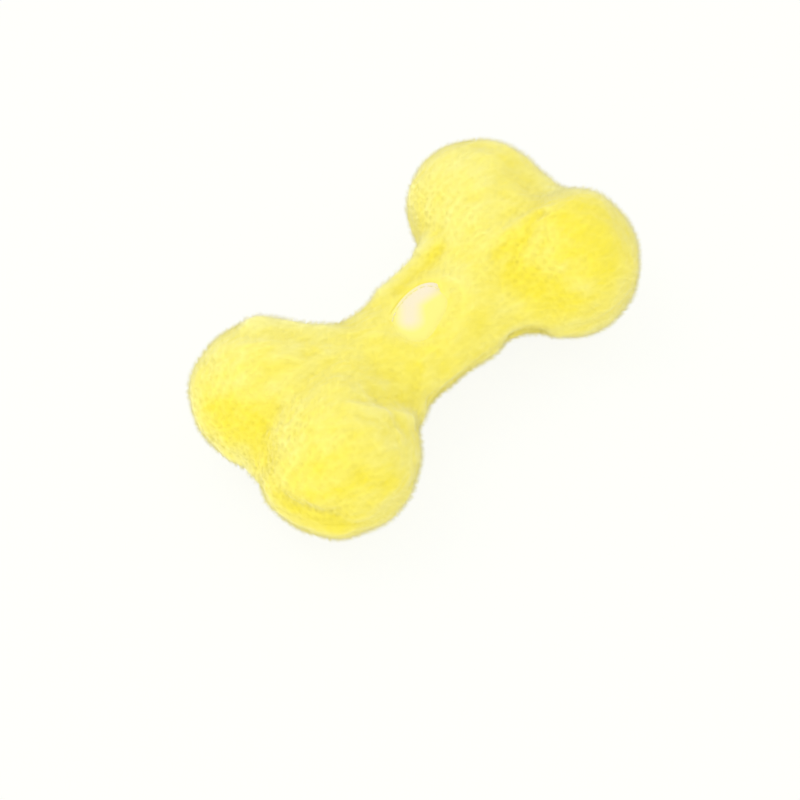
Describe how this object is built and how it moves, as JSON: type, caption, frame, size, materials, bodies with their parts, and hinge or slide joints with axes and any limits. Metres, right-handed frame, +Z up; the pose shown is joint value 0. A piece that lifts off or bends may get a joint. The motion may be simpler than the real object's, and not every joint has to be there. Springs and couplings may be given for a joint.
{
  "type": "plush bone dog toy",
  "caption": "Stuffed bone-shaped plush toy with round lobes and a waisted shaft, a bare sewn patch on top, fibre stuffing and a squeaker inside.",
  "frame": {"origin": "centre of the bone's outline seen from above, on the surface that it lies on", "axes": "+X along the bone to its far end in the picture, +Y across it, +Z up through the side with the patch"},
  "size_m": [0.1812, 0.1018, 0.0584],
  "materials": {
    "plush": "short soft pile",
    "thread": "polyester sewing thread",
    "patch_cloth": "smooth woven cloth",
    "fibrefill": "loose polyester fibre",
    "soft_plastic": "soft blow-moulded plastic",
    "hard_plastic": "moulded plastic",
    "reed_film": "thin stiff film"
  },
  "bodies": {
    "root": {"cover_top": "plush", "cover_bottom": "plush", "seam_thread": "thread", "closing_thread": "thread", "patch": "patch_cloth", "patch_thread": "thread", "stuffing_shaft_top": "fibrefill", "stuffing_shaft_bottom": "fibrefill", "stuffing_far_left": "fibrefill", "stuffing_far_right": "fibrefill", "stuffing_near_left": "fibrefill", "stuffing_near_right": "fibrefill", "squeaker_bulb": "soft_plastic", "whistle_body": "hard_plastic", "reed_block": "hard_plastic", "reed": "reed_film"}
  },
  "joints": []
}
